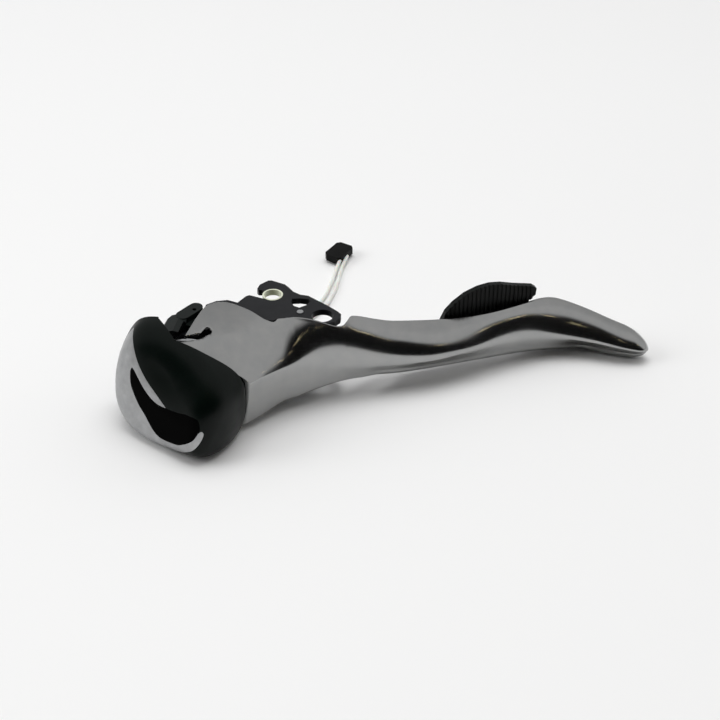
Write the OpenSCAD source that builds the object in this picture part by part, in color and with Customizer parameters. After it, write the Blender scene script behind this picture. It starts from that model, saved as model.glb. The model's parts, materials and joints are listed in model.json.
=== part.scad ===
// Main lever assembly of a road brake lever with a built-in gear shifter, lying on its side.
// +Z is the brake pivot axis, +X runs along the lever from head to tip, and the origin is where
// the pivot axis leaves the lower support plate. Heights below are over the table, and on_table()
// brings them into this frame. The shift axle lies flat and points out of the name cap.

/* [Lever] */
// Wall thickness of the cast lever
wall = 1.5; // [1.3:0.1:1.6]
// Swept length of the solid tip
tip_x = 92.4; // [91.6:0.2:92.4]
// Thickness of the web that carries the hub
web_t = 2.6; // [2.2:0.2:2.8]

/* [Support] */
// Thickness of each support plate
plate_t = 1.8; // [1.4:0.1:2]
// Height of the lower support plate over the table
plate_low = 5; // [4.8:0.1:5.2]
// Height of the upper support plate's outer face over the table
plate_top = 24; // [23.6:0.1:24]
// Diameter of the brake pivot bore
pivot_d = 6; // [5:0.1:6.2]
// Inner diameter of the cable hook liner
liner_bore_d = 4.8; // [4:0.1:5]
// Outer diameter of the cable hook liner
liner_d = 5.8; // [5.6:0.1:6]

/* [Shift axle] */
// Diameter of the shift axle
axle_d = 6; // [5:0.2:6]
// Radial clearance of a running fit
running_gap = 0.03; // [0.02:0.01:0.06]
// Height of the shift axle over the table
axle_z = 15; // [14.8:0.1:15.2]

/* [Name cap] */
// Wall thickness of the name cap
cap_wall = 1.4; // [1.2:0.1:1.6]
// Thickness of the two inlays
inlay_t = 0.6; // [0.4:0.1:0.7]

/* [Release lever] */
// Thickness of the release arm's sheet
arm_t = 1; // [0.8:0.1:1.1]
// Pitch of the ribs on the release pad
rib_pitch = 1.3; // [1.1:0.1:2]

/* [Lead] */
// Diameter of one wire of the lead
wire_d = 1.2; // [1:0.1:1.2]

/* [Hidden] */
$fn = 48;
eps = 0.01;

// The shift axle's frame: X along t, Y up, Z out along the axle
axle_turn = 30;
axle_t = -34;

// Stations along the shift axle, from its hidden end to the cap
clip_s = [0.2, 1];
block_s = [1, 9];
thrust_s = [9, 9.8];
hub_s = [10, 20];
arm_s = [10.9, 11.9];
release_spring_s = [12.5, 13.6];
return_spring_s = [14.4, 15.5];
flange_s = 16.2;
web_s = 17;
head_washer_s = 20.2;
head_s = [21, 23];
spigot_s = 30;
rim_s = 24.6;
cap_back_s = 17;
lever_front_s = 24.1;
// Radii about the shift axle
hub_r = 5.2;
hub_bore_r = 4;
flange_r = 8.2;
hub_rivet_place = 6.8;
hub_rivet_r = 0.8;
seat_gap = 0.06;
head_r = 5.5;
spigot_r = 2.5;
clip_r = 4.6;
groove_depth = 0.5;
spring_wire_r = 0.3;
sweep_in_r = 9.4;
sweep_out_r = 13.4;

// Guide curves of the lever, as [x, value]
front_line = [[-50, -15], [-28, -14.3], [-20, -10.9], [-12, -8.6], [-4, -7.9], [4, -8.3], [16, -10.5],
    [28, -12.4], [38, -11.8], [50, -10], [60, -9.7], [68, -11.2], [76, -14.9], [84, -20], [92.4, -23.5]];
heel_line = [[-50, -13.6], [-28, -12.7], [-12, -7.9], [4, -7.3], [20, -9.8], [38, -9.7], [58, -8.5],
    [68, -9.5], [76, -11.4], [84, -17], [92.4, -22]];
back_line = [[-50, 16], [-14, 16], [-8, 3], [2, -2], [14, -2.3], [28, -2.6], [38, -3.2], [50, -4],
    [60, -3.1], [66, -1.4], [70.5, -0.9], [76, -3.4], [84, -8.8], [92.4, -15.2]];
low_line = [[-50, 1], [-28, 1], [-12, 3.2], [4, 5.4], [16, 5.4], [38, 4], [58, 2], [70, 1.2], [82, 0.3],
    [92.4, 0]];
shoulder_line = [[-50, 17], [-28, 16.6], [-12, 15.4], [4, 13.2], [16, 11.8], [38, 10.4], [58, 9.8],
    [70, 8.5], [82, 6.5], [92.4, 4]];
crown_line = [[-50, 27], [-28, 27], [-12, 25.2], [-4, 23.8], [4, 21.3], [12, 18.6], [20, 16.4], [38, 14.2],
    [58, 14], [70, 12.2], [82, 9.7], [92.4, 7]];
top_line = [[-50, 28], [-28, 28], [-12, 27], [0, 26.2], [6, 24.3], [12, 22.3], [20, 19.4], [38, 16.6],
    [66, 16.6], [76, 14], [86, 10], [92.4, 8]];
edge_line = [[-50, 0.6], [60, 0.6], [70, 2.2], [84, 3], [92.4, 3]];
hollow_x = [60, 66];
lip_gap_x = [-10, 9];

// Outline of the upper cheek seen from above
cheek_outline = [[-50, -12], [-42.4, -3.4], [-36.6, 3.1], [-31.1, 9.6], [-29.4, 10.8], [-27, 11.3],
    [-24.5, 10.8], [-18.7, 6.4], [-16.1, 3.9], [-14.2, 2.8], [-13.1, 2.5], [-12.1, 3.1], [-8.8, 1.4],
    [-3.8, -1.9], [1.7, -4.2], [4.4, -4.4], [5.7, -3.6], [8, -1], [60, 6], [100, 6], [100, -40], [-50, -40]];

// Outline of the support plates seen from above
plate_outline = [[-33.2, 5.8], [-27, 3.4], [-16, 0.4], [-6, -2.8], [-3, -3.8], [2.2, -3.9], [4.3, -2.6],
    [5.1, -1], [4.5, 0.9], [2.8, 4.6], [0.4, 9], [-0.5, 10.7], [-2.5, 12.1], [-3.8, 14.1], [-4.3, 16.5],
    [-4.9, 18.5], [-7.8, 21.7], [-8.7, 22], [-11.6, 20.8], [-12.9, 19.1], [-12.7, 18.2], [-11.9, 17.9],
    [-9.7, 14.7], [-12.6, 13.5], [-15.6, 16.4], [-16, 16.7], [-17.1, 16.4], [-20.1, 14.2],
    [-22.3, 16.4], [-25.5, 17], [-28.6, 16.2], [-33.6, 8]];
hook_centre = [-9.7, 14.7];
window = [[-6, 9.4], [-5.2, 10.8], [-3, 10.2], [-1, 9], [-0.9, 7.8], [-2.8, 6.4], [-4.8, 6], [-5.9, 7.4]];
pin_place = [-5.2, 3.8];
rivet_places = [[-27.6, 10.8], [-29.3, 7.9]];
pin_r = 0.9;
spacer_r = 1.5;

// Route of the release arm's sheet seen from above
arm_route = [[-32.4, 5.5], [-29.3, 3.75], [-25, 1.6], [-4, -4.85], [4, -4.85], [16, -0.4], [34, 0],
    [62, 0]];
// Side view of the release arm, as [x, z]
arm_side = [[-33, 11], [-26, 8], [-10, 6], [6, 6], [20, 7], [34, 8], [61.5, 9], [61.5, 14.5], [50, 15.5],
    [36, 13.5], [20, 11], [6, 9.5], [-4, 9.5], [-12, 10.5], [-26, 17], [-33, 19]];
// Outline of the release pad, as [x, z]
pad_side = [[34.5, 9], [34.8, 15], [36.2, 18], [38.5, 20.3], [42, 22.6], [46, 23.9], [49.5, 24.2],
    [53, 23.7], [57, 22.4], [63, 20.8], [64.2, 19.8], [64, 17.6], [62, 16.2], [61.4, 10.5], [60, 9]];

// Sections of the block between the plates, as [t, z], and the plan of its ridge and lug, as [t, s]
block_side = [[-42, 0], [-27, 0], [-27, 22.6], [-36.5, 22.6], [-39, 19], [-42, 14]];
ridge_side = [[-43.2, 12], [-43.2, 21.4], [-41.8, 23.4], [-38.6, 24.2], [-36.4, 23.8], [-36.4, 12]];
ridge_plan = [[-43, 14.4], [-43.2, 10.6], [-41, 6.4], [-37.6, 5.6], [-36.4, 8], [-36.4, 14.4]];
lug_ends = [[-35.4, 2.1], [-37.8, 6.4]];
lug_r = 2;
lug_hole = [-35.4, 3.4];
lug_hole_r = 0.6;
gland_place = [-27.2, 12.6, 9.4];
gland_r = [2.2, 1.6];
gland_length = 6.4;

// Outline of the name cap at its rim, as [t, z]
cap_outline = [[-16.4, 12], [-16.9, 17], [-20, 21.2], [-26.9, 25.2], [-34.9, 28.9], [-41.5, 30.2],
    [-46.6, 28.9], [-50.1, 24.2], [-52.3, 18.2], [-53.2, 12.2], [-52.6, 6.4], [-49.2, 2], [-43, 0.2],
    [-34, 0], [-25, 0], [-19, 0.9], [-17, 5.6]];
cap_centre = [-34, 13];
cap_height = 20;
// Plan of what the cap leaves open behind its rim, as [t, s]
cap_opening = [[-34.9, 24.5], [-41.3, 17.4], [-41.3, 0], [20, 0], [20, 24.5]];
// The front face is the plane s = face_s + face_t * t + face_z * z
face_s = 57.6;
face_t = 0.528;
face_z = -0.252;
// Round hollow in the cap's upper face, whose edge is the crease across the front
scoop_centre = [-56.1, 45.3, 82.6];
scoop_r = 60;
swoosh_edge = [[-46.4, 21], [-46.7, 15.6], [-44.4, 11.5], [-41.9, 8.8], [-39.5, 6.1], [-37, 4.8],
    [-32.5, 5], [-30.2, 6.2], [-27.2, 8.6], [-25.8, 10.8]];
badge_outline = concat([[-60, 34], [-48, 28]], swoosh_edge,
    [[-24.9, 10.2], [-25.4, 7.4], [-28.4, 3.6], [-33, 1], [-40, -4], [-60, -4]]);
gloss_outline = concat(swoosh_edge, [[-26.4, 13.4], [-30, 14], [-36, 14.1], [-38.6, 15.4], [-42.3, 18.4],
    [-44.8, 21.6], [-46, 24]]);

// Routes of the two wires, from the gland to the connector
wire_a_route = [[-23.4, 18.4, 9.4], [-22.2, 20.5, 9.1], [-20.9, 22.6, 7.6], [-19.2, 24.4, 4.8],
    [-17.2, 25.6, 2], [-14, 26.4, 0.7], [-8, 27, 0.6], [-1, 28.6, 0.6], [5.4, 31.2, 0.6],
    [10.6, 34.6, 0.6], [14.8, 38.5, 0.6], [19, 44.4, 0.6], [21.4, 48.6, 0.6], [23.2, 52.2, 0.6],
    [25.2, 55.4, 0.9], [28.4, 59.8, 1.8]];
wire_b_route = [[-24.9, 19.2, 9.4], [-23.7, 21.3, 9.1], [-22.4, 23.6, 7.6], [-20.6, 25.8, 4.8],
    [-18, 27.2, 2], [-14.2, 28.1, 0.7], [-8.2, 28.8, 0.6], [-1.6, 30.4, 0.6], [4.4, 33, 0.6],
    [9.2, 36.4, 0.6], [14, 41, 0.6], [16.3, 44, 0.6], [18.5, 47.4, 0.6], [20.8, 51, 0.6],
    [22.8, 54.4, 0.8], [25.4, 58, 1.8]];
connector_centre = [26.5, 62];
connector_turn = 38;
// Connector: length, width and thickness of its body, the room under it and the cut of its corners
connector_size = [8.6, 6, 2.2];
connector_foot = 0.9;
connector_cut = 1;

// Value at x of a smooth curve through [x, value] points
function slope_at(c, i) = let(a = c[max(i - 1, 0)], b = c[min(i + 1, len(c) - 1)])
    (b[1] - a[1]) / (b[0] - a[0]);
function span_of(c, x, i = 0) = (i < len(c) - 2 && x > c[i + 1][0]) ? span_of(c, x, i + 1) : i;
function curve_at(c, x) = let(i = span_of(c, x), w = c[i + 1][0] - c[i][0], u = (x - c[i][0]) / w)
    (2 * u ^ 3 - 3 * u ^ 2 + 1) * c[i][1] + (u ^ 3 - 2 * u ^ 2 + u) * w * slope_at(c, i)
    + (3 * u ^ 2 - 2 * u ^ 3) * c[i + 1][1] + (u ^ 3 - u ^ 2) * w * slope_at(c, i + 1);
function mix(a, b, u) = a + (b - a) * u;
function bezier(a, b, c, d, u) = (1 - u) ^ 3 * a + 3 * u * (1 - u) ^ 2 * b + 3 * u ^ 2 * (1 - u) * c + u ^ 3 * d;
function clamp(v) = min(max(v, 0), 1);

// Solid through rings that all have the same number of points
module skin(rings) {
    n = len(rings[0]);
    last = len(rings) - 1;
    polyhedron(
        points = [for (r = rings) each r],
        faces = concat(
            [[for (j = [0:n - 1]) n - 1 - j]],
            [for (i = [0:last - 1], j = [0:n - 1]) let(k = (j + 1) % n)
                each [[i * n + j, i * n + k, (i + 1) * n + k], [i * n + j, (i + 1) * n + k, (i + 1) * n + j]]],
            [[for (j = [0:n - 1]) last * n + j]]));
}

// Tube of radius r along a route of points
function unit(v) = v / norm(v);
function side_of(d) = unit(cross(d, abs(d[2]) > 0.9 ? [1, 0, 0] : [0, 0, 1]));
module tube_along(route, r, sides) {
    last = len(route) - 1;
    skin([for (i = [0:last]) let(
        d = unit(route[min(i + 1, last)] - route[max(i - 1, 0)]), a = side_of(d), b = cross(a, d))
        [for (j = [0:sides - 1]) route[i] + r * (cos(360 * j / sides) * a + sin(360 * j / sides) * b)]]);
}

module on_table() translate([0, 0, -plate_low]) children();
module in_axle_frame() rotate([90, 0, -axle_turn]) children();
module on_axle(s) in_axle_frame() translate([axle_t, axle_z, s]) children();
// Prism over a plan in [t, s], and prism over a section in [t, z] from s0 to s1
module over_plan(plan, z0, z1) in_axle_frame() translate([0, z0, 0]) rotate([-90, 0, 0])
    linear_extrude(z1 - z0) mirror([0, 1]) polygon(plan);
module along_axle(section, s0, s1) in_axle_frame() translate([0, 0, s0]) linear_extrude(s1 - s0)
    polygon(section);
module ring(r_out, r_in, h) {
    difference() {
        cylinder(r = r_out, h = h);
        translate([0, 0, -eps]) cylinder(r = r_in, h = h + 2 * eps);
    }
}

// Section of the lever at x: an open channel seen from the tip, or a closed blade past hollow_x
function lip_back(x) = let(f = curve_at(front_line, x), b = curve_at(back_line, x))
    x < -14 ? f + 7
    : x < lip_gap_x[1] + 4 ? mix(f + 7, f + wall + 0.4, clamp((x + 14) / 4)) + 2.1 * clamp((x - lip_gap_x[1]) / 4)
    : mix(f + wall + 2.5, b + 0.3, clamp((x - lip_gap_x[1] - 4) / 10));
function lip_gap(x) = clamp((x - lip_gap_x[0] + 4) / 4) * clamp((lip_gap_x[1] + 4 - x) / 4);
function lever_path(x, w, n = 8) = let(
    f = curve_at(front_line, x) + w, b = curve_at(back_line, x), heel = curve_at(heel_line, x),
    gap = lip_gap(x), low = curve_at(low_line, x) + w, sh = curve_at(shoulder_line, x),
    crown = curve_at(crown_line, x) - w, top = curve_at(top_line, x) - w,
    e = w > 0 ? 0.1 : curve_at(edge_line, x), lip = max(lip_back(x), heel + mix(2.6, 1.5, gap)),
    r = w > 0 ? mix(1, 0.1, gap) : mix(2.4, 1.2, gap), hy = min(heel + w, lip - r - 0.02),
    cy = f + 0.62 * (b - f), cz = crown + 0.62 * (top - crown))
    concat(
        [for (a = [0:30:90]) [lip - e + e * cos(a), low + e - e * sin(a)]],
        [for (a = [0:22.5:90]) [hy + r - r * sin(a), low + r - r * cos(a)]],
        [for (i = [0:n]) let(u = i / n)
            bezier([f, sh], [f, mix(sh, crown, 0.75)], [mix(f, cy, 0.3), mix(crown, cz, 0.3)], [cy, cz], u)],
        [for (a = [0:30:90]) [b - e + e * sin(a), top - e + e * cos(a)]]);
function back_path(x, count) = let(outer = lever_path(x, 0), a = outer[0], b = outer[len(outer) - 1])
    [for (i = [0:count - 1]) mix(a, b, (i + 1) / (count + 1))];
function channel_path(x) = let(
    inner = lever_path(x, wall), flat = back_path(x, len(inner)),
    h = clamp((hollow_x[1] - x) / (hollow_x[1] - hollow_x[0])))
    [for (i = [0:len(inner) - 1]) mix(flat[i], inner[i], h)];
function reversed(p) = [for (i = [len(p) - 1:-1:0]) p[i]];
function tip_scale(x) = x < tip_x - 5 ? 1 : sqrt(max(1 - ((x - tip_x + 5) / 5) ^ 2, 0.0004));
function middle(p) = [for (k = [0, 1]) (min([for (q = p) q[k]]) + max([for (q = p) q[k]])) / 2];
function lever_ring(x, open) = let(
    p = open ? concat(lever_path(x, 0), reversed(channel_path(x)))
        : concat(lever_path(x, 0), reversed(back_path(x, 4))),
    m = middle(p), k = tip_scale(x))
    [for (q = p) [x, m[0] + (q[0] - m[0]) * k, m[1] + (q[1] - m[1]) * k]];
head_stations = [for (x = [-50:4:-14]) x];
neck_stations = [for (x = [-11:3:88]) x];
tip_stations = [for (a = [15, 30, 45, 60, 75, 84]) tip_x - 5 + 5 * sin(a)];
module lever_skin(open) {
    skin([for (x = concat(head_stations, neck_stations, open ? tip_stations : [])) lever_ring(x, open)]);
}

// Web across the head that carries the hub
web_r = 9.3;
web_side = [[-34, 6], [-34, 24], [-31, 27], [-5, 27], [-5, 1], [-30, 3]];
// Slot in the cheek's corner, as centres and radii of its three rounds
slot_places = [[-32.6, 0.3], [-35, -0.9], [-42, -0.6]];
slot_r = [1.3, 1, 1];
hub_angles = [30, 150, 270];
// Room under the cheek for the upper support plate
plate_room = 0.4;
module plate_pocket() translate([0, 0, plate_low]) linear_extrude(plate_top - plate_low + plate_room)
    offset(delta = plate_room) polygon(plate_outline);
module slot_run(i) hull() {
    translate(slot_places[i]) circle(r = slot_r[i], $fn = 20);
    translate(slot_places[i + 1]) circle(r = slot_r[i + 1], $fn = 20);
}
module lever_blade() color("#85878a") on_table() difference() {
    union() {
        intersection() {
            lever_skin(true);
            linear_extrude(40) polygon(cheek_outline);
        }
        intersection() {
            lever_skin(false);
            union() {
                on_axle(web_s) cylinder(r = web_r, h = web_t);
                along_axle(web_side, web_s, web_s + web_t);
            }
        }
    }
    in_axle_frame() translate([-100, -50, lever_front_s]) cube([200, 100, 60]);
    on_axle(web_s - 1) cylinder(r = hub_r + seat_gap, h = 10, $fn = 32);
    on_axle(web_s - 1) at_hub_rivets() cylinder(r = hub_rivet_r + seat_gap, h = 10, $fn = 16);
    plate_pocket();
    translate([0, 0, 22]) linear_extrude(10) {
        slot_run(0);
        slot_run(1);
    }
}

module support_plate(z) translate([0, 0, z]) linear_extrude(plate_t) difference() {
    polygon(plate_outline);
    circle(d = pivot_d);
    translate(hook_centre) circle(d = liner_d);
    polygon(window);
    translate(pin_place) circle(r = pin_r);
    for (p = rivet_places) translate(p) circle(r = pin_r);
}
module support_plate_upper() color("#24252a") on_table() support_plate(plate_top - plate_t);
module support_plate_lower() color("#24252a") on_table() support_plate(plate_low);

// Block between the plates that stands on the table and holds the rear end of the shift axle
module lug(z0, z1) in_axle_frame() translate([0, z0, 0]) rotate([-90, 0, 0]) linear_extrude(z1 - z0)
    mirror([0, 1]) hull() for (p = lug_ends) translate(p) circle(r = lug_r, $fn = 32);
module support_block() color("#15181a") on_table() difference() {
    union() {
        along_axle(block_side, block_s[0], block_s[1]);
        intersection() {
            along_axle(ridge_side, block_s[0], 20);
            over_plan(ridge_plan, 0, 30);
        }
        lug(plate_top - 3, plate_top + 0.2);
    }
    on_axle(-5) cylinder(d = axle_d, h = 30);
    on_axle(block_s[1]) cylinder(r = sweep_in_r, h = 20);
    for (p = rivet_places) translate(p) cylinder(r = pin_r, h = 40);
    for (z = [plate_low, plate_top - plate_t]) translate([0, 0, z]) linear_extrude(plate_t)
        polygon(plate_outline);
    in_axle_frame() translate([lug_hole[0], plate_top + 1, lug_hole[1]]) rotate([90, 0, 0])
        cylinder(r = lug_hole_r, h = plate_t);
    gland_cone();
}
module plate_rivets() color("#3a3c40") on_table() for (p = rivet_places)
    translate([p[0], p[1], plate_low]) cylinder(r = pin_r, h = plate_top - plate_low);
module spacer_pin() color("#55575b") on_table() translate([pin_place[0], pin_place[1], plate_low]) {
    cylinder(r = pin_r, h = plate_top - plate_low + 0.2);
    translate([0, 0, plate_t]) cylinder(r = spacer_r, h = plate_top - plate_low - 2 * plate_t);
}
module hook_liner(z) on_table() translate([hook_centre[0], hook_centre[1], z])
    ring(liner_d / 2, liner_bore_d / 2, plate_t);
module hook_liner_upper() color("#e4e6d8") hook_liner(plate_top - plate_t);
module hook_liner_lower() color("#e4e6d8") hook_liner(plate_low);

module shift_axle() color("#9a9c9e") on_table() on_axle(0) difference() {
    union() {
        translate([0, 0, clip_s[0] - 0.8]) cylinder(d = axle_d, h = head_s[0] - clip_s[0] + 0.8);
        translate([0, 0, head_s[0]]) cylinder(r = head_r, h = head_s[1] - head_s[0]);
        translate([0, 0, head_s[0]]) cylinder(r = spigot_r, h = spigot_s - head_s[0]);
    }
    translate([0, 0, clip_s[0]]) ring(axle_d, axle_d / 2 - groove_depth, clip_s[1] - clip_s[0]);
}
module axle_clip() color("#2c2e31") on_table() on_axle(clip_s[0]) difference() {
    ring(clip_r, axle_d / 2 - groove_depth, clip_s[1] - clip_s[0]);
    translate([-1.8, -8, -1]) cube([3.6, 8, 3]);
}
module thrust_washer() color("#b7b9ba") on_table() on_axle(thrust_s[0])
    ring(hub_r + 1, axle_d / 2, thrust_s[1] - thrust_s[0]);
module head_washer() color("#b7b9ba") on_table() on_axle(head_washer_s)
    ring(head_r - 0.2, axle_d / 2, head_s[0] - head_washer_s);

module at_hub_rivets() for (a = hub_angles) rotate(a) translate([hub_rivet_place, 0, 0]) children();
module lever_hub() color("#6f7275") on_table() on_axle(0) difference() {
    union() {
        translate([0, 0, hub_s[0]]) cylinder(r = hub_r, h = hub_s[1] - hub_s[0]);
        translate([0, 0, flange_s]) cylinder(r = flange_r, h = web_s - flange_s);
    }
    cylinder(r = hub_bore_r, h = 30);
    at_hub_rivets() cylinder(r = hub_rivet_r, h = 30);
}
module hub_bush() color("#b08d57") on_table() on_axle(hub_s[0])
    ring(hub_bore_r, axle_d / 2 + running_gap, hub_s[1] - hub_s[0]);
module hub_rivets() color("#8d8f92") on_table() on_axle(flange_s) at_hub_rivets() {
    cylinder(r = hub_rivet_r, h = web_s - flange_s + web_t + 0.1);
    translate([0, 0, web_s - flange_s + web_t]) cylinder(r = hub_rivet_r + 0.35, h = 0.7);
}

// Dome of the name cap, shrunk inwards by the given wall
function closed(p, i) = p[(i + len(p)) % len(p)];
function round_loop(p, k) = [for (i = [0:len(p) - 1], j = [0:k - 1]) let(u = j / k,
    a = closed(p, i), b = closed(p, i + 1), m = (b - closed(p, i - 1)) / 2, n = (closed(p, i + 2) - a) / 2)
    (2 * u ^ 3 - 3 * u ^ 2 + 1) * a + (u ^ 3 - 2 * u ^ 2 + u) * m + (3 * u ^ 2 - 2 * u ^ 3) * b + (u ^ 3 - u ^ 2) * n];
function side_scale(v) = (1 - v ^ 2) ^ (1 / 2);
function low_scale(v) = (1 - v ^ 3) ^ (1 / 3.5);
module cap_dome(inset) {
    loop = reversed(round_loop(cap_outline, 2));
    levels = concat([-1], [for (a = [0:9:81]) sin(a)], [0.999]);
    in_axle_frame() difference() {
        intersection() {
            skin([for (v = levels) let(u = max(v, 0),
                s = v < 0 ? cap_back_s - inset : rim_s + (cap_height - inset) * v)
                [for (p = loop) let(d = (p - cap_centre) * (1 - inset / norm(p - cap_centre)))
                    [cap_centre[0] + d[0] * side_scale(u), cap_centre[1] + d[1] * low_scale(u), s]]]);
            multmatrix([[1, 0, 0, 0], [0, 1, 0, 0], [face_t, face_z, 1, face_s - 1.2 * inset], [0, 0, 0, 1]])
                translate([-80, -20, -80]) cube([100, 80, 80]);
        }
        translate(scoop_centre) sphere(r = scoop_r + inset, $fn = 96);
    }
}
module inlay_recess(outline) difference() {
    along_axle(outline, 20, 60);
    cap_dome(inlay_t);
}
module cap_inlay(outline) intersection() {
    cap_dome(0);
    inlay_recess(outline);
}
module name_cap() color("#070b0d") on_table() difference() {
    cap_dome(0);
    difference() {
        cap_dome(cap_wall);
        on_axle(0) cylinder(r = head_r, h = 60, $fn = 32);
    }
    on_axle(0) cylinder(r = head_r + 0.1, h = head_s[1], $fn = 32);
    on_axle(0) cylinder(r = spigot_r + seat_gap, h = spigot_s + 0.2, $fn = 32);
    on_axle(0) cylinder(r = sweep_out_r, h = rim_s + 0.2);
    over_plan(cap_opening, -10, 50);
    inlay_recess(badge_outline);
    inlay_recess(gloss_outline);
}
module badge_panel() color("#b2b4b5") on_table() cap_inlay(badge_outline);
module gloss_insert() color("#050506") on_table() cap_inlay(gloss_outline);

// Lead with its gland and connector
module gland_cone() translate(gland_place) rotate([-90, 0, -axle_turn])
    cylinder(r1 = gland_r[0], r2 = gland_r[1], h = gland_length);
module lead_gland() color("#0c0d0e") on_table() gland_cone();
module lead_wire_a() color("#e6e8e2") on_table() tube_along(wire_a_route, wire_d / 2, 8);
module lead_wire_b() color("#e6e8e2") on_table() tube_along(wire_b_route, wire_d / 2, 8);
module at_connector() on_table() translate([connector_centre[0], connector_centre[1], 0])
    rotate(connector_turn) children();
socket_x = [-1.9, 1.9];
socket_depth = 3;
socket_z = connector_foot + 0.5;
module connector_plan(l, w, cut) polygon([[-l / 2, -w / 2 + cut], [-l / 2 + cut, -w / 2], [l / 2 - cut, -w / 2],
    [l / 2, -w / 2 + cut], [l / 2, w / 2 - cut], [l / 2 - cut, w / 2], [-l / 2 + cut, w / 2],
    [-l / 2, w / 2 - cut]]);
module connector_housing() color("#060606") at_connector() difference() {
    union() {
        translate([0, 0, connector_foot]) linear_extrude(connector_size[2])
            connector_plan(connector_size[0], connector_size[1], connector_cut);
        linear_extrude(connector_foot + eps)
            connector_plan(connector_size[0] - 2, connector_size[1] - 2.4, connector_cut);
    }
    for (x = socket_x) translate([x - 0.8, connector_size[1] / 2 - socket_depth, socket_z])
        cube([1.6, socket_depth + 1, 1.2]);
}
module connector_contacts() color("#c8a24a") at_connector() for (x = socket_x)
    translate([x - 0.5, connector_size[1] / 2 - socket_depth, socket_z]) cube([1, socket_depth - 0.6, 0.8]);

// Torsion spring wound on the hub, with one straight leg
coil_turns = 1.5;
coil_steps = 14;
coil_leg = 3;
module coil(s) {
    r = (hub_r + spring_wire_r + seat_gap) / cos(180 / coil_steps);
    last = coil_turns * coil_steps;
    a_end = 360 * coil_turns;
    tube_along(concat(
        [for (i = [0:last]) let(a = 360 * i / coil_steps) [r * cos(a), r * sin(a), mix(s[0], s[1], i / last)]],
        [[r * cos(a_end) - coil_leg * sin(a_end), r * sin(a_end) + coil_leg * cos(a_end), s[1]]]),
        spring_wire_r, 6);
}
module return_spring() color("#a9abad") on_table() on_axle(0) coil(return_spring_s);
module release_spring() color("#a9abad") on_table() on_axle(0) coil(release_spring_s);

// Bent sheet along a plan route
function left_of(p, i) = let(a = p[max(i - 1, 0)], b = p[min(i + 1, len(p) - 1)], d = (b - a) / norm(b - a)) [-d[1], d[0]];
function band(p, w) = concat([for (i = [0:len(p) - 1]) p[i] + left_of(p, i) * w / 2],
    [for (i = [len(p) - 1:-1:0]) p[i] - left_of(p, i) * w / 2]);
module side_view(y0, depth) translate([0, y0 + depth, 0]) rotate([90, 0, 0]) linear_extrude(depth)
    children();
pad_rivet_x = [42, 55];
pad_rivet_z = 12;
pad_rivet_r = 1;
module at_pad_rivets(y) for (x = pad_rivet_x) translate([x, y, pad_rivet_z]) rotate([90, 0, 0]) children();
arm_ring_r = 6.9;
module release_arm() color("#1d1f22") on_table() difference() {
    union() {
        intersection() {
            linear_extrude(30) polygon(band(arm_route, arm_t));
            side_view(-20, 40) polygon(arm_side);
        }
        on_axle(arm_s[0]) cylinder(r = arm_ring_r, h = arm_s[1] - arm_s[0]);
    }
    on_axle(0) cylinder(r = hub_r + 0.05, h = 30);
    at_pad_rivets(20) cylinder(r = pad_rivet_r, h = 40);
}
pad_y = [-2, -0.5];
rib_depth = 0.3;
module release_pad() color("#101214") on_table() difference() {
    union() {
        side_view(pad_y[0], pad_y[1] - pad_y[0]) polygon(pad_side);
        intersection() {
            for (x = [35:rib_pitch:63]) translate([x, pad_y[0] - rib_depth, 0]) cube([rib_pitch / 2, 1, 30]);
            side_view(-5, 10) polygon(pad_side);
        }
    }
    at_pad_rivets(20) cylinder(r = pad_rivet_r, h = 40);
}
module pad_rivets() color("#5c5e61") on_table() at_pad_rivets(0.5) {
    cylinder(r = pad_rivet_r, h = 2.4);
    translate([0, 0, -0.7]) cylinder(r = pad_rivet_r + 0.8, h = 0.7);
}

support_plate_upper();
support_plate_lower();
support_block();
spacer_pin();
plate_rivets();
hook_liner_upper();
hook_liner_lower();
shift_axle();
axle_clip();
thrust_washer();
head_washer();
name_cap();
badge_panel();
gloss_insert();
lead_gland();
lead_wire_a();
lead_wire_b();
connector_housing();
connector_contacts();
lever_blade();
lever_hub();
hub_bush();
hub_rivets();
return_spring();
release_arm();
release_pad();
pad_rivets();
release_spring();
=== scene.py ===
import json
import math

import bmesh
import bpy
import numpy as np
from mathutils import Matrix, Vector


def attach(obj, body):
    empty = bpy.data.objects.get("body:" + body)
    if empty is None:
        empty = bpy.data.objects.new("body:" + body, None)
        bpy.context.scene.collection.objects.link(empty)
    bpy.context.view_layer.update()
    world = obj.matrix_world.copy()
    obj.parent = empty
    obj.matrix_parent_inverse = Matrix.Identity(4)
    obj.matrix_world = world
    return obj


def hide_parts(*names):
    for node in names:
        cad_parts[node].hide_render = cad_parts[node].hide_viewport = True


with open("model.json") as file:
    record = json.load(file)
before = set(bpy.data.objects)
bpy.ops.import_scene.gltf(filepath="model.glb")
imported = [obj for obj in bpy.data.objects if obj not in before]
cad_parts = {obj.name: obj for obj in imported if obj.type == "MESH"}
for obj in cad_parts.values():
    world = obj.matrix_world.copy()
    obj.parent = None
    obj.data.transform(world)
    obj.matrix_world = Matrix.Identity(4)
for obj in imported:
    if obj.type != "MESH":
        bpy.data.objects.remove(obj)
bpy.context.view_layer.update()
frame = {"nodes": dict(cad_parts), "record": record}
NODES = frame["nodes"]
MM = 0.001
# Height of the table under the part's origin, in millimetres
TABLE = -5.0

# The shift axle's frame, as in the part's source: t to the right, s out of the cap, z up
AXLE_TURN = math.radians(30)


def place(t, s, z):
    """Point of the axle's frame, with its height over the table, in the row frame in metres."""
    c, n = math.cos(AXLE_TURN), math.sin(AXLE_TURN)
    return Vector((t * c - s * n, -t * n - s * c, z + TABLE)) * MM


def over_table(x, y, z):
    """Point with its height over the table, in the row frame in metres."""
    return Vector((x, y, z + TABLE)) * MM


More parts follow.
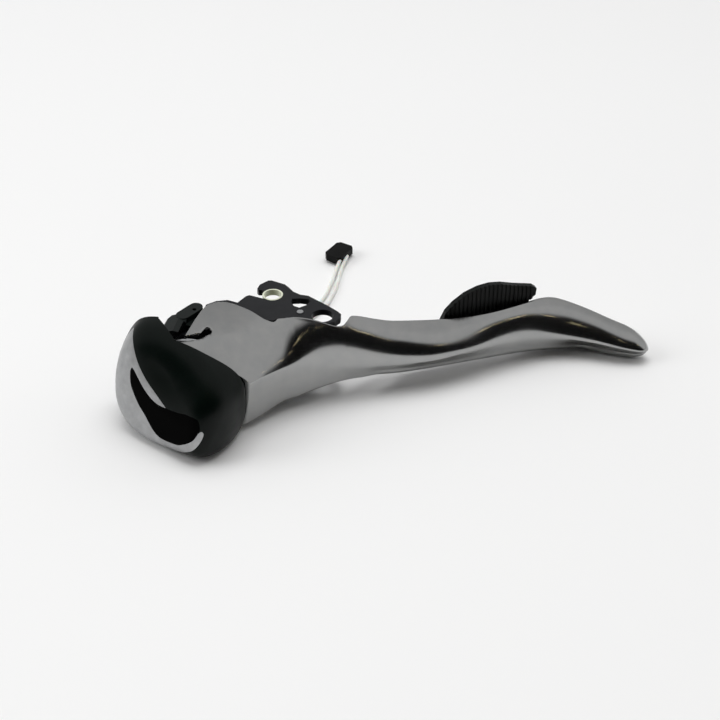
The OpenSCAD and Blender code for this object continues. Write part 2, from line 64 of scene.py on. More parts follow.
# Small helpers for smooth curves
def mix(a, b, u):
    return a + (b - a) * u


def clamp(v, low=0.0, high=1.0):
    return min(max(v, low), high)


def smooth(u):
    u = clamp(u)
    return u * u * (3 - 2 * u)


def curve_at(points, x):
    """Value at x of a smooth curve through (x, value) points."""
    last = len(points) - 1
    i = 0
    while i < last - 1 and x > points[i + 1][0]:
        i += 1
    (x0, v0), (x1, v1) = points[i], points[i + 1]
    before, after = points[max(i - 1, 0)], points[min(i + 2, last)]
    width = x1 - x0
    u = (x - x0) / width
    m0 = (v1 - before[1]) / (x1 - before[0])
    m1 = (after[1] - v0) / (after[0] - x0)
    return ((2 * u**3 - 3 * u**2 + 1) * v0 + (u**3 - 2 * u**2 + u) * width * m0
            + (3 * u**2 - 2 * u**3) * v1 + (u**3 - u**2) * width * m1)


def bezier(a, b, c, d, u):
    w = 1 - u
    return tuple(w**3 * p + 3 * u * w * w * q + 3 * u * u * w * r + u**3 * s
                 for p, q, r, s in zip(a, b, c, d))


def new_object(name, mesh):
    obj = bpy.data.objects.new(name, mesh)
    bpy.context.scene.collection.objects.link(obj)
    return obj


def from_bmesh(name, bm, sharp_angle=35):
    """Finishes a bmesh as a smooth-shaded object with its steep edges kept sharp."""
    bmesh.ops.recalc_face_normals(bm, faces=bm.faces[:])
    for face in bm.faces:
        face.smooth = True
    for edge in bm.edges:
        if len(edge.link_faces) == 2 and edge.calc_face_angle(0) > math.radians(sharp_angle):
            edge.smooth = False
    mesh = bpy.data.meshes.new(name)
    bm.to_mesh(mesh)
    bm.free()
    return new_object(name, mesh)


def loft(rings, closed=True, caps=True, inner=None):
    """A bmesh through rings of the same number of points; inner is the range of the inside's points."""
    bm = bmesh.new()
    grid = [[bm.verts.new(p) for p in ring] for ring in rings]
    n = len(grid[0])
    for lower, upper in zip(grid, grid[1:]):
        for j in range(n if closed else n - 1):
            k = (j + 1) % n
            face = bm.faces.new((lower[j], lower[k], upper[k], upper[j]))
            # Inside faces take the second material, painted near-black as shade
            if inner and inner[0] <= j < inner[1]:
                face.material_index = 1
    if caps:
        bm.faces.new(grid[0][::-1])
        bm.faces.new(grid[-1])
    return bm


def boolean(obj, tool, operation="DIFFERENCE"):
    """Applies a boolean to obj and removes the tool."""
    mod = obj.modifiers.new("cut", "BOOLEAN")
    mod.object = tool
    mod.operation = operation
    mod.solver = "EXACT"
    bpy.context.view_layer.update()
    depsgraph = bpy.context.evaluated_depsgraph_get()
    mesh = bpy.data.meshes.new_from_object(obj.evaluated_get(depsgraph))
    obj.modifiers.remove(mod)
    old = obj.data
    obj.data = mesh
    bpy.data.meshes.remove(old)
    bpy.data.objects.remove(tool)
    return obj


# Camera
CAMERA_AZIMUTH = math.radians(-20)
CAMERA_ELEVATION = math.radians(36)
CAMERA_PLACE = over_table(-114.5, -344.8, 272.8)


def add_camera():
    data = bpy.data.cameras.new("camera")
    data.lens = 80
    data.sensor_width = 36
    data.clip_start = 0.01
    camera = bpy.data.objects.new("camera", data)
    bpy.context.scene.collection.objects.link(camera)
    a, e = CAMERA_AZIMUTH, CAMERA_ELEVATION
    back = Vector((math.sin(a) * math.cos(e), -math.cos(a) * math.cos(e), math.sin(e)))
    right = Vector((math.cos(a), math.sin(a), 0))
    up = back.cross(right)
    turn = Matrix((right, up, back)).transposed().to_4x4()
    camera.matrix_world = Matrix.Translation(CAMERA_PLACE) @ turn
    bpy.context.scene.camera = camera


# Node material helpers
class Shader:
    """A material whose nodes are added one by one and linked by name."""

    def __init__(self, name):
        self.mat = bpy.data.materials.new(name)
        self.mat.use_nodes = True
        self.tree = self.mat.node_tree
        self.bsdf = self.tree.nodes["Principled BSDF"]
        coordinates = self.tree.nodes.new("ShaderNodeTexCoord")
        self.where = coordinates.outputs["Object"]

    def set(self, **values):
        for key, value in values.items():
            self.bsdf.inputs[key.replace("_", " ")].default_value = value
        return self

    def node(self, kind, **values):
        made = self.tree.nodes.new(kind)
        for key, value in values.items():
            if hasattr(made, key):
                setattr(made, key, value)
            else:
                made.inputs[key.replace("_", " ")].default_value = value
        return made

    def link(self, output, target):
        self.tree.links.new(output, target)

    def noise(self, scale, detail=4.0, roughness=0.55, stretch=None):
        made = self.node("ShaderNodeTexNoise", Scale=scale, Detail=detail, Roughness=roughness)
        source = self.where
        if stretch:
            mapping = self.node("ShaderNodeMapping")
            mapping.inputs["Scale"].default_value = stretch
            self.link(source, mapping.inputs["Vector"])
            source = mapping.outputs["Vector"]
        self.link(source, made.inputs["Vector"])
        return made.outputs["Fac"]

    def ramp(self, source, stops, target):
        """A colour ramp from source to target; stops are (place, colour or number)."""
        made = self.node("ShaderNodeValToRGB")
        ramp = made.color_ramp
        while len(ramp.elements) < len(stops):
            ramp.elements.new(0.5)
        for element, (where, colour) in zip(ramp.elements, stops):
            element.position = where
            if isinstance(colour, (int, float)):
                colour = (colour, colour, colour)
            element.color = (*colour, 1)
        self.link(source, made.inputs["Fac"])
        self.link(made.outputs["Color"], self.bsdf.inputs[target])

    def soften(self, radius):
        """Rounds the shading of hard edges by a radius in millimetres."""
        made = self.node("ShaderNodeBevel", samples=4, Radius=radius * MM)
        self.link(made.outputs["Normal"], self.bsdf.inputs["Normal"])
        return self

    def bump(self, source, strength, distance=0.0001):
        made = self.node("ShaderNodeBump", Strength=strength, Distance=distance)
        self.link(source, made.inputs["Height"])
        if self.bsdf.inputs["Normal"].is_linked:
            self.link(self.bsdf.inputs["Normal"].links[0].from_socket, made.inputs["Normal"])
        self.link(made.outputs["Normal"], self.bsdf.inputs["Normal"])
        return self


def aluminium():
    s = Shader("satin_aluminium").set(Metallic=1.0)
    s.ramp(s.noise(260, 5, 0.6), [(0.3, (0.325, 0.33, 0.33)), (0.7, (0.36, 0.36, 0.355))], "Base Color")
    s.ramp(s.noise(120, 6, 0.7), [(0.25, 0.13), (0.75, 0.2)], "Roughness")
    s.bump(s.noise(900, 3, 0.6, (0.15, 1, 1)), 0.04, 0.00003)
    return s.mat


def painted_shade_inside():
    """The inside of the channel: rough, unpolished metal whose colour is painted near-black as shade."""
    s = Shader("painted_shade_inside").set(Metallic=0.7)
    # Near-black base colour: painted shade for the channel's inside
    s.ramp(s.noise(300, 5, 0.6), [(0.3, (0.035, 0.036, 0.038)), (0.7, (0.06, 0.06, 0.062))], "Base Color")
    s.ramp(s.noise(200, 5), [(0.3, 0.5), (0.7, 0.65)], "Roughness")
    s.bump(s.noise(700, 4), 0.15, 0.00006)
    return s.mat


def coated_black(name, colour, roughness, grain=900, bump=0.08, specular=0.35, soft=0.12):
    s = Shader(name).set(Specular_IOR_Level=specular)
    if soft:
        s.soften(soft)
    dark = tuple(c * 0.75 for c in colour)
    s.ramp(s.noise(300, 5), [(0.35, dark), (0.7, colour)], "Base Color")
    s.ramp(s.noise(180, 6), [(0.3, roughness * 0.85), (0.7, roughness * 1.15)], "Roughness")
    s.bump(s.noise(grain, 4), bump, 0.00005)
    return s.mat


def metal(name, colour, roughness, stretch=(1, 1, 1)):
    s = Shader(name).set(Metallic=1.0)
    dark = tuple(c * 0.8 for c in colour)
    s.ramp(s.noise(400, 5, 0.6, stretch), [(0.3, dark), (0.7, colour)], "Base Color")
    s.ramp(s.noise(500, 5), [(0.3, roughness * 0.8), (0.7, roughness * 1.25)], "Roughness")
    s.bump(s.noise(1200, 3, 0.6, stretch), 0.1, 0.00003)
    return s.mat


def wire_sleeve():
    s = Shader("wire_sleeve").set(Roughness=0.35, Subsurface_Weight=0.25, Subsurface_Scale=0.002)
    s.ramp(s.noise(250, 3), [(0.3, (0.76, 0.77, 0.73)), (0.7, (0.86, 0.87, 0.83))], "Base Color")
    s.bump(s.noise(700, 3), 0.05, 0.00004)
    return s.mat


MATERIALS = {
    "satin_aluminium": aluminium(),
    "black_plate": coated_black("black_plate", (0.012, 0.0125, 0.0145), 0.42, specular=0.22),
    "black_moulding": coated_black("black_moulding", (0.006, 0.009, 0.008), 0.38, specular=0.2),
    "steel": metal("steel", (0.55, 0.56, 0.57), 0.3),
    "liner": coated_black("liner", (0.8, 0.83, 0.66), 0.3, specular=0.5),
    "name_plate": coated_black("name_plate", (0.0008, 0.003, 0.002), 0.36,
                               bump=0.04, specular=0.14, soft=0),
    "silver_panel": metal("silver_panel", (0.43, 0.435, 0.44), 0.38),
    "gloss_black": coated_black("gloss_black", (0.0006, 0.0006, 0.0006), 0.07,
                                bump=0.0, specular=0.015, soft=0),
    "wire_sleeve": wire_sleeve(),
    "connector": coated_black("connector", (0.001, 0.001, 0.001), 0.5, specular=0.12),
    "contact": metal("contact", (0.72, 0.55, 0.24), 0.3),
    "bush": metal("bush", (0.62, 0.47, 0.26), 0.45),
    "spring_steel": metal("spring_steel", (0.5, 0.51, 0.52), 0.28),
    "release_metal": coated_black("release_metal", (0.009, 0.01, 0.0115), 0.42, specular=0.22),
    "release_plastic": coated_black("release_plastic", (0.003, 0.0038, 0.0035), 0.4, specular=0.16),
}


PAINTED_SHADE_INSIDE = painted_shade_inside()
SLOTS = {row["node"]: row["material_slot"] for row in frame["record"]["subparts"]}


def dress(obj, slot):
    """Gives a new piece its material and its slot."""
    obj.data.materials.clear()
    obj.data.materials.append(MATERIALS[slot])
    return obj


# Lead: the route points of the part's source, with heights over the table
WIRE_D = 1.2
WIRE_A = [(-23.4, 18.4, 9.4), (-22.2, 20.5, 9.1), (-20.9, 22.6, 7.6), (-19.2, 24.4, 4.8),
          (-17.2, 25.6, 2), (-14, 26.4, 0.7), (-8, 27, 0.6), (-1, 28.6, 0.6), (5.4, 31.2, 0.6),
          (10.6, 34.6, 0.6), (14.8, 38.5, 0.6), (19, 44.4, 0.6), (21.4, 48.6, 0.6), (23.2, 52.2, 0.6),
          (25.2, 55.4, 0.9), (28.4, 59.8, 1.8)]
WIRE_B = [(-24.9, 19.2, 9.4), (-23.7, 21.3, 9.1), (-22.4, 23.6, 7.6), (-20.6, 25.8, 4.8),
          (-18, 27.2, 2), (-14.2, 28.1, 0.7), (-8.2, 28.8, 0.6), (-1.6, 30.4, 0.6), (4.4, 33, 0.6),
          (9.2, 36.4, 0.6), (14, 41, 0.6), (16.3, 44, 0.6), (18.5, 47.4, 0.6), (20.8, 51, 0.6),
          (22.8, 54.4, 0.8), (25.4, 58, 1.8)]


def add_wire(name, route):
    points = [over_table(*p) for p in route]
    data = bpy.data.curves.new(name, "CURVE")
    data.dimensions = "3D"
    data.bevel_depth = WIRE_D / 2 * MM
    data.bevel_resolution = 5
    data.use_fill_caps = True
    data.resolution_u = 6
    spline = data.splines.new("POLY")
    spline.points.add(len(points) - 1)
    for target, p in zip(spline.points, points):
        target.co = (*p, 1)
    spline.use_smooth = True
    obj = new_object(name + "_sleeve", data)
    dress(obj, "wire_sleeve")
    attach(obj, "root")
    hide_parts(name)
    return obj


# Guide curves of the lever as (x, value), with heights over the table. SHOULDER and CROWN lie lower than
# on the solid, where the photograph's polished band starts and where its crease runs down to the cap.
FRONT = [(-50, -15), (-28, -14.3), (-20, -10.9), (-12, -8.6), (-4, -7.9), (4, -8.3), (16, -10.5),
         (28, -12.4), (38, -11.8), (50, -10), (60, -9.7), (68, -11.2), (76, -14.9), (84, -20),
         (92.4, -23.5)]
HEEL = [(-50, -13.6), (-28, -12.7), (-12, -7.9), (4, -7.3), (20, -9.8), (38, -9.7), (58, -8.5),
        (68, -9.5), (76, -11.4), (84, -17), (92.4, -22)]
BACK = [(-46, -7.2), (-42.4, -3.4), (-39.4, -0.3), (-36.6, 3.1), (-33.5, 6.9), (-31.1, 9.6),
        (-29.4, 10.8), (-27, 11.3), (-24.5, 10.8), (-21.6, 8.8), (-18.7, 6.4), (-16.1, 3.9),
        (-14.2, 2.8), (-13.1, 2.5), (-12.1, 2.9), (-8.8, 1.2), (-3.8, -1.9), (1.7, -4.2),
        (4.2, -4.4), (5.7, -3.6), (7.6, -2.3), (14, -2.3), (28, -2.6), (38, -3.2), (50, -4),
        (60, -3.1), (66, -1.4), (70.5, -0.9), (76, -3.4), (84, -8.8), (92.4, -15.2)]
WIDE_BACK = [(-50, 16), (-14, 16), (-8, 3), (2, -2), (14, -2.3), (28, -2.6), (38, -3.2), (50, -4),
             (60, -3.1), (66, -1.4), (70.5, -0.9), (76, -3.4), (84, -8.8), (92.4, -15.2)]
LOW = [(-50, 1), (-28, 1), (-12, 3.2), (4, 5.4), (16, 5.4), (38, 4), (58, 2), (70, 1.2), (82, 0.3),
       (92.4, 0)]
SHOULDER = [(-50, 16.6), (-28, 16.2), (-12, 14.6), (4, 11.2), (16, 10.4), (38, 10), (58, 8.6),
            (70, 7.2), (82, 5.8), (92.4, 4)]
CROWN = [(-50, 24), (-28, 23), (-12, 22.4), (-4, 20.6), (4, 18.8), (12, 17.2), (20, 15.8), (38, 14),
         (58, 14.2), (70, 12.6), (82, 9.9), (92.4, 7)]
TOP = [(-50, 28), (-28, 28), (-12, 27), (0, 26.2), (6, 24.3), (12, 22.3), (20, 19.4), (38, 16.6),
       (66, 16.6), (76, 14), (86, 10), (92.4, 8)]
EDGE = [(-50, 0.6), (60, 0.6), (70, 2.2), (84, 3), (92.4, 3)]
WALL = 1.5
TIP_X = 92.4
TIP_LENGTH = 5.0
HOLLOW_END = (60, 66)
LIP_GAP = (-10, 9)
# Left of this the front face meets the cheek's slope in a crease, right of it in a round roll
CREASE_END = -3
CREASE_FADE = 21
LEVER_FRONT_S = 24.1
CHEEK_ROOF = 40


def lip_gap(x):
    return clamp((x - LIP_GAP[0] + 4) / 4) * clamp((LIP_GAP[1] + 4 - x) / 4)


def lip_back(x, f, b):
    if x < -14:
        return f + 7
    if x < LIP_GAP[1] + 4:
        return mix(f + 7, f + WALL + 0.4, clamp((x + 14) / 4)) + 2.1 * clamp((x - LIP_GAP[1]) / 4)
    return mix(f + WALL + 2.5, b + 0.3, clamp((x - LIP_GAP[1] - 4) / 10))


def crown_curve(x, inset):
    """The roll over the crown as a function of u, its far end, and the knee and end of the flat cheek."""
    f = curve_at(FRONT, x) + inset
    wide = curve_at(WIDE_BACK, x)
    crown, top = curve_at(CROWN, x) - inset, curve_at(TOP, x) - inset
    shoulder = curve_at(SHOULDER, x)
    cy, cz = f + 0.62 * (wide - f), crown + 0.62 * (top - crown)
    wider = smooth((x - 30) / 16)
    rise, run = mix(0.5, 0.4, wider), mix(0.22, 0.45, wider)
    swept = [(f, shoulder), (f, mix(shoulder, crown, rise)),
             (mix(f, cy, run), mix(crown, cz, run)), (cy, cz)]
    creased = [(f, shoulder), (f, shoulder + 1), (f + 1.5, shoulder + 2.2), (f + 12, shoulder + 9.2)]
    w = smooth((CREASE_END - x) / CREASE_FADE)
    a, b, c, d = (tuple(mix(p, q, w) for p, q in zip(one, other))
                  for one, other in zip(swept, creased))
    slope = (d[1] - c[1]) / (d[0] - c[0])
    knee = (mix(d[0], wide, 0.4), min(top - 0.1, d[1] + 0.4 * (wide - d[0]) * slope))
    return (lambda u: bezier(a, b, c, d, u)), d, knee, (wide, top)


def lever_outline(x, inset):
    """Section of the lever at x: the lip, the heel, the front face, the crown and the back edge."""
    back = curve_at(BACK, x)
    front = curve_at(FRONT, x)
    heel = curve_at(HEEL, x)
    gap = lip_gap(x)
    low = curve_at(LOW, x) + inset
    lip = max(lip_back(x, front, back), heel + mix(2.6, 1.5, gap))
    r = mix(1, 0.1, gap) if inset else mix(2.4, 1.2, gap)
    hy = min(heel + inset, lip - r - 0.02)
    e = 0.15 if inset else min(curve_at(EDGE, x), 3)
    roll, far, knee, end = crown_curve(x, inset)
    points = [(lip - e + e * math.cos(a), low + e - e * math.sin(a))
              for a in (math.radians(15 * i) for i in range(7))]
    points += [(hy + r - r * math.sin(a), low + r - r * math.cos(a))
               for a in (math.radians(11.25 * i) for i in range(9))]
    base, shoulder = points[-1], (front + inset, curve_at(SHOULDER, x))
    points += [(mix(base[0], shoulder[0], u), mix(base[1], shoulder[1], u)) for u in (0.25, 0.5, 0.75)]

    def over(v):
        """The crown's surface from the shoulder (0) to the wide back line (1 + )."""
        if v <= 1:
            return roll(v)
        w = v - 1
        return tuple((1 - w) ** 2 * p + 2 * w * (1 - w) * q + w * w * r for p, q, r in zip(far, knee, end))

    stop = 0.0
    while stop < 2 and over(stop)[0] < back - e:
        stop += 0.004
    points += [over(stop * (1 - (1 - i / 26) ** 1.15)) for i in range(27)]
    y_end, z_end = points[-1]
    y_next, z_next = over(stop + 0.01)
    slope = (z_next - z_end) / max(y_next - y_end, 1e-4)
    round_e = e if not inset else 0.05
    for a in (math.radians(15 * i) for i in range(1, 7)):
        out = round_e * math.sin(a)
        points.append((y_end + out, z_end + slope * out - round_e * (1 - math.cos(a))))
    return points


def lever_section(x):
    """Closed section of the open channel at x."""
    outer = lever_outline(x, 0.0)
    inner = lever_outline(x, WALL)
    a, b = outer[0], outer[-1]
    n = len(inner)
    flat = [(mix(a[0], b[0], (i + 1) / (n + 1)), mix(a[1], b[1], (i + 1) / (n + 1))) for i in range(n)]
    h = smooth((HOLLOW_END[1] - x) / (HOLLOW_END[1] - HOLLOW_END[0]))
    channel = [(mix(p[0], q[0], h), mix(p[1], q[1], h)) for p, q in zip(flat, inner)]
    return outer + channel[::-1]


def tip_scale(x):
    if x < TIP_X - TIP_LENGTH:
        return 1.0
    return math.sqrt(max(1 - ((x - TIP_X + TIP_LENGTH) / TIP_LENGTH) ** 2, 0.0004))


def lever_ring(x):
    section = lever_section(x)
    ys, zs = [p[0] for p in section], [p[1] for p in section]
    my, mz = (min(ys) + max(ys)) / 2, (min(zs) + max(zs)) / 2
    k = tip_scale(x)
    return [over_table(x, my + (y - my) * k, mz + (z - mz) * k) for y, z in section]


def along_axle(t, z, s):
    return place(t, s, z)


def prism(name, outline, low, high, at):
    """Prism over an outline of (a, b) in millimetres; at(a, b, level) gives the places of its ends."""
    bm = bmesh.new()
    base, roof = ([bm.verts.new(at(a, b, level)) for a, b in outline] for level in (low, high))
    n = len(base)
    bm.faces.new(base[::-1])
    bm.faces.new(roof)
    for i in range(n):
        j = (i + 1) % n
        bm.faces.new((base[i], base[j], roof[j], roof[i]))
    return from_bmesh(name, bm)


# The slot in the cheek: centres and radii along it, and the heights that its cut spans
SLOT_PLACES = [(-32.6, 0.3), (-35, -0.9), (-43, -0.6)]
SLOT_RADII = [1.3, 1.0, 1.0]
SLOT_LEVELS = (20, 32)


def slot_outline(steps=14):
    """Plan of the cheek's slot: a round end, a neck and an open mouth."""
    left, right = [], []
    for i in range(len(SLOT_PLACES) - 1):
        for k in range(steps):
            u = k / steps
            x = mix(SLOT_PLACES[i][0], SLOT_PLACES[i + 1][0], u)
            y = mix(SLOT_PLACES[i][1], SLOT_PLACES[i + 1][1], smooth(u))
            r = mix(SLOT_RADII[i], SLOT_RADII[i + 1], smooth(u))
            left.append((x, y + r))
            right.append((x, y - r))
    x, y = SLOT_PLACES[0]
    r = SLOT_RADII[0]
    nose = [(x + r * math.cos(a), y + r * math.sin(a))
            for a in (math.radians(-75 + 15 * i) for i in range(11))]
    return right[::-1] + nose + left


def cheek_volume(name):
    """All that lies above the inside of the cheek, from the front face to the back edge."""
    rings = []
    for x in (-30 + 1.5 * i for i in range(29)):
        inside = lever_outline(x, WALL - 0.1)[19:46]
        line = [(inside[0][0], CHEEK_ROOF)] + inside + [(inside[-1][0], CHEEK_ROOF)]
        rings.append([over_table(x, y, z) for y, z in line])
    return from_bmesh(name, loft(rings))


def add_trimmed(node, body):
    """A CAD piece with what would stand in the cheek's wall taken off."""
    piece = copy_of(NODES[node], node + "_shell")
    boolean(piece, cheek_volume(node + "_tool"))
    dress(piece, SLOTS[node])
    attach(piece, body)
    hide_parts(node)


def add_blade():
    xs = [-47 + 0.6 * i for i in range(110)]
    xs += [19 + 0.9 * i for i in range(76)]
    xs = [x for x in xs if x < TIP_X - TIP_LENGTH]
    xs += [TIP_X - TIP_LENGTH + TIP_LENGTH * math.sin(math.radians(6 * i)) for i in range(16)]
    rings = [lever_ring(x) for x in xs]
    half = len(rings[0]) // 2
    bm = loft(rings, inner=(half, 2 * half - 1))
    normal = place(0, 1, 0) - place(0, 0, 0)
    geometry = bm.verts[:] + bm.edges[:] + bm.faces[:]
    bmesh.ops.bisect_plane(bm, geom=geometry, plane_co=place(0, LEVER_FRONT_S, 0), plane_no=normal,
                           clear_outer=True)
    bmesh.ops.holes_fill(bm, edges=[e for e in bm.edges if e.is_boundary], sides=0)
    blade = from_bmesh("lever_blade_shell", bm)
    boolean(blade, prism("slot_tool", slot_outline(), *SLOT_LEVELS, over_table))
    dress(blade, "satin_aluminium")
    # The channel's inside faces get the material painted near-black as shade
    blade.data.materials.append(PAINTED_SHADE_INSIDE)
    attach(blade, "main_lever")
    return blade


# Name cap: the dome, the front face and the round hollow of the part's source, in the axle's frame
CAP_OUTLINE = [(-16.4, 12), (-16.9, 17), (-20, 21.2), (-26.9, 25.2), (-34.9, 28.9), (-41.5, 30.2),
               (-46.6, 28.9), (-50.1, 24.2), (-52.3, 18.2), (-53.2, 12.2), (-52.6, 6.4), (-49.2, 2),
               (-43, 0.2), (-34, 0), (-25, 0), (-19, 0.9), (-17, 5.6)]
CAP_CENTRE = (-34, 13)
RIM_S = 24.6
CAP_BACK_S = 17
CAP_HEIGHT = 20
FACE = (57.6, 0.528, -0.252)
SCOOP_CENTRE = (-56.1, 45.3, 82.6)
SCOOP_R = 60
CAP_WALL = 1.4
CAP_EYE = (-33, 12.5, 23)
# Plan of the opening in the cap's flank, as (t, s), and the heights that its cut spans
CAP_OPENING_LEVELS = (-10, 50)
CAP_OPENING = [(-34.9, 24.5), (-41.3, 17.4), (-41.3, 0), (20, 0), (20, 24.5)]
# The inlays' outlines, as (t, z), and how far along the axle each of them reaches
GLOSS_DEPTHS = (26, 60)
BADGE_DEPTHS = (20, 60)
SWOOSH = [(-46.9, 19.4), (-46.7, 15.6), (-44.6, 11.6), (-42.1, 8.9), (-39.7, 6.1), (-37, 4.7),
          (-32.5, 5), (-30.1, 6.1), (-27, 8.5), (-25.4, 10.9)]
# The gloss insert's upper edge: right of the silver panel's corner, and along the panel to the tip
GLOSS_RIGHT = [(-25.4, 10.9), (-24.9, 12.4), (-25.6, 14.6), (-28.6, 14.9), (-32, 14.2),
               (-35.4, 13.9)]
GLOSS_LEFT = [(-35.4, 13.9), (-38.2, 13.9), (-40.8, 15), (-42.9, 16.8), (-44.4, 18.6),
              (-45.7, 20.2), (-46.4, 20.5), (-46.9, 19.4)]
# The silver panel's upper edge, and its hooked end under the insert
BADGE_TOP = [(-50, 31), (-46.9, 27.4), (-44.5, 22.5), (-41.8, 18.9), (-38.1, 15.9), (-35.4, 13.9)]
BADGE_HOOK = [(-25.4, 10.9), (-24.5, 11.5), (-24, 10.6), (-24.6, 8.8), (-26.2, 6.4), (-28.6, 4.4),
              (-31.2, 2.8), (-34.6, 1.4)]


def through(points, steps=8, closed=True):
    """Points of a smooth curve through the given ones."""
    n = len(points)
    made = []
    for i in range(n if closed else n - 1):
        if closed:
            before, a, b, after = points[i - 1], points[i], points[(i + 1) % n], points[(i + 2) % n]
        else:
            before, a, b, after = points[max(i - 1, 0)], points[i], points[i + 1], points[min(i + 2, n - 1)]
        for k in range(steps):
            u = k / steps
            made.append(tuple(
                (2 * u**3 - 3 * u**2 + 1) * p + (u**3 - 2 * u**2 + u) * (q - o) / 2
                + (3 * u**2 - 2 * u**3) * q + (u**3 - u**2) * (r - p) / 2
                for o, p, q, r in zip(before, a, b, after)))
    if not closed:
        made.append(tuple(points[-1]))
    return made


def smooth_max(a, b, k):
    h = np.maximum(k - np.abs(a - b), 0) / k
    return np.maximum(a, b) + h * h * k / 4


def outline_radius():
    loop = np.array(through(CAP_OUTLINE, 24)) - CAP_CENTRE
    angle = np.arctan2(loop[:, 1], loop[:, 0])
    order = np.argsort(angle)
    return angle[order], np.hypot(loop[:, 0], loop[:, 1])[order]


OUTLINE_ANGLE, OUTLINE_R = outline_radius()


def cap_field(p):
    """Roughly the distance outside the cap's outer surface, for points (t, z, s)."""
    t, z, s = p[..., 0], p[..., 1], p[..., 2]
    v = np.clip((s - RIM_S) / CAP_HEIGHT, 0, 0.9995)
    wide, high = np.sqrt(1 - v**2), (1 - v**3) ** (1 / 3.5)
    dt, dz = (t - CAP_CENTRE[0]) / wide, (z - CAP_CENTRE[1]) / high
    rho = np.interp(np.arctan2(dz, dt), OUTLINE_ANGLE, OUTLINE_R, period=2 * np.pi)
    dome = (np.hypot(dt, dz) - rho) * np.minimum(wide, high)
    face = (s - FACE[0] - FACE[1] * t - FACE[2] * z) / np.sqrt(1 + FACE[1]**2 + FACE[2]**2)
    scoop = SCOOP_R - np.linalg.norm(p - np.array(SCOOP_CENTRE), axis=-1)
    side = np.clip(-scoop / 8, 0, 1)
    soft = 1.1 + 3.4 * side * side * (3 - 2 * side)
    return smooth_max(smooth_max(dome, scoop, 7.0), face, soft)


def cap_normal(p):
    """Outward directions of the cap's surface at points (t, z, s)."""
    step = 0.02
    made = np.stack([cap_field(p + step * axis) - cap_field(p - step * axis) for axis in np.eye(3)],
                    axis=-1)
    return made / np.linalg.norm(made, axis=-1, keepdims=True)


def cast(origin, direction, reach=60.0):
    """Distance along each direction at which the cap's surface is met."""
    low, high = np.zeros(direction.shape[:-1]), np.full(direction.shape[:-1], reach)
    for _ in range(36):
        middle = (low + high) / 2
        inside = cap_field(origin + middle[..., None] * direction) < 0
        low, high = np.where(inside, middle, low), np.where(inside, high, middle)
    return (low + high) / 2


def cap_shell(around=320, rows=86):
    """Closed shell of the cap: outer and inner surfaces seen from one inner point."""
    eye = np.array(CAP_EYE, float)
    phi = np.arange(around) * 2 * np.pi / around
    flat = np.stack([np.cos(phi), np.sin(phi), 0 * phi], axis=-1)
    psi = np.linspace(0, np.pi / 2, rows + 1)[1:]
    direction = np.cos(psi)[:, None, None] * np.array([0, 0, 1.0]) + np.sin(psi)[:, None, None] * flat
    eyes = np.broadcast_to(eye, direction.shape).copy()
    back_s = np.array([21.5, 20, 18.5, CAP_BACK_S])
    wall_eyes = np.broadcast_to(eye, (len(back_s), around, 3)).copy()
    wall_eyes[..., 2] = back_s[:, None]
    eyes = np.concatenate([eyes, wall_eyes])
    direction = np.concatenate([direction, np.broadcast_to(flat, wall_eyes.shape)])
    far = cast(eyes, direction)
    outer = eyes + far[..., None] * direction
    facing = np.clip((cap_normal(outer) * direction).sum(-1), 0.45, 1)
    inner = eyes + (far - CAP_WALL / facing)[..., None] * direction
    pole = np.array([0, 0, 1.0])
    pole_far = float(cast(eye, pole))
    bm = bmesh.new()
    make = lambda p: bm.verts.new(place(float(p[0]), float(p[2]), float(p[1])))
    layers = []
    for grid, top in ((outer, eye + pole_far * pole), (inner, eye + (pole_far - CAP_WALL) * pole)):
        tip = make(top)
        rings = [[make(p) for p in row] for row in grid]
        for j in range(around):
            bm.faces.new((tip, rings[0][j], rings[0][(j + 1) % around]))
        for a, b in zip(rings, rings[1:]):
            for j in range(around):
                k = (j + 1) % around
                bm.faces.new((a[j], b[j], b[k], a[k]))
        layers.append(rings[-1])
    for j in range(around):
        k = (j + 1) % around
        bm.faces.new((layers[0][j], layers[1][j], layers[1][k], layers[0][k]))
    return from_bmesh("cap_shell", bm)


C30, S30 = math.cos(AXLE_TURN), math.sin(AXLE_TURN)


# A vertex counts as on the surface within this many millimetres, if its face looks the same way
ON_SURFACE = 0.03
SAME_SIDE = 0.5


def to_axle(p):
    """Rows of points in the row frame as (t, z, s) in millimetres."""
    x, y, z = p[:, 0] / MM, p[:, 1] / MM, p[:, 2] / MM - TABLE
    return np.stack([C30 * x - S30 * y, z, -S30 * x - C30 * y], axis=-1)


def from_axle(n):
    """Directions given as (t, z, s), in the row frame."""
    t, z, s = n[:, 0], n[:, 1], n[:, 2]
    return np.stack([C30 * t - S30 * s, -S30 * t - C30 * s, z], axis=-1)


def true_normals(obj):
    """Shades the faces that lie on the cap's outer surface with that surface's own normals."""
    mesh = obj.data
    places = np.empty(len(mesh.vertices) * 3)
    mesh.vertices.foreach_get("co", places)
    local = to_axle(places.reshape(-1, 3))
    on_surface = np.abs(cap_field(local)) < ON_SURFACE
    wanted = from_axle(cap_normal(local))
    normals = []
    for face in mesh.polygons:
        lies_on = all(on_surface[v] for v in face.vertices)
        plain = face.normal
        for v in face.vertices:
            close = lies_on and wanted[v] @ np.array(plain) > SAME_SIDE
            normals.append(tuple(wanted[v]) if close else tuple(plain))
    mesh.normals_split_custom_set(normals)


def copy_of(obj, name):
    made = obj.copy()
    made.data = obj.data.copy()
    made.name = name
    bpy.context.scene.collection.objects.link(made)
    return made


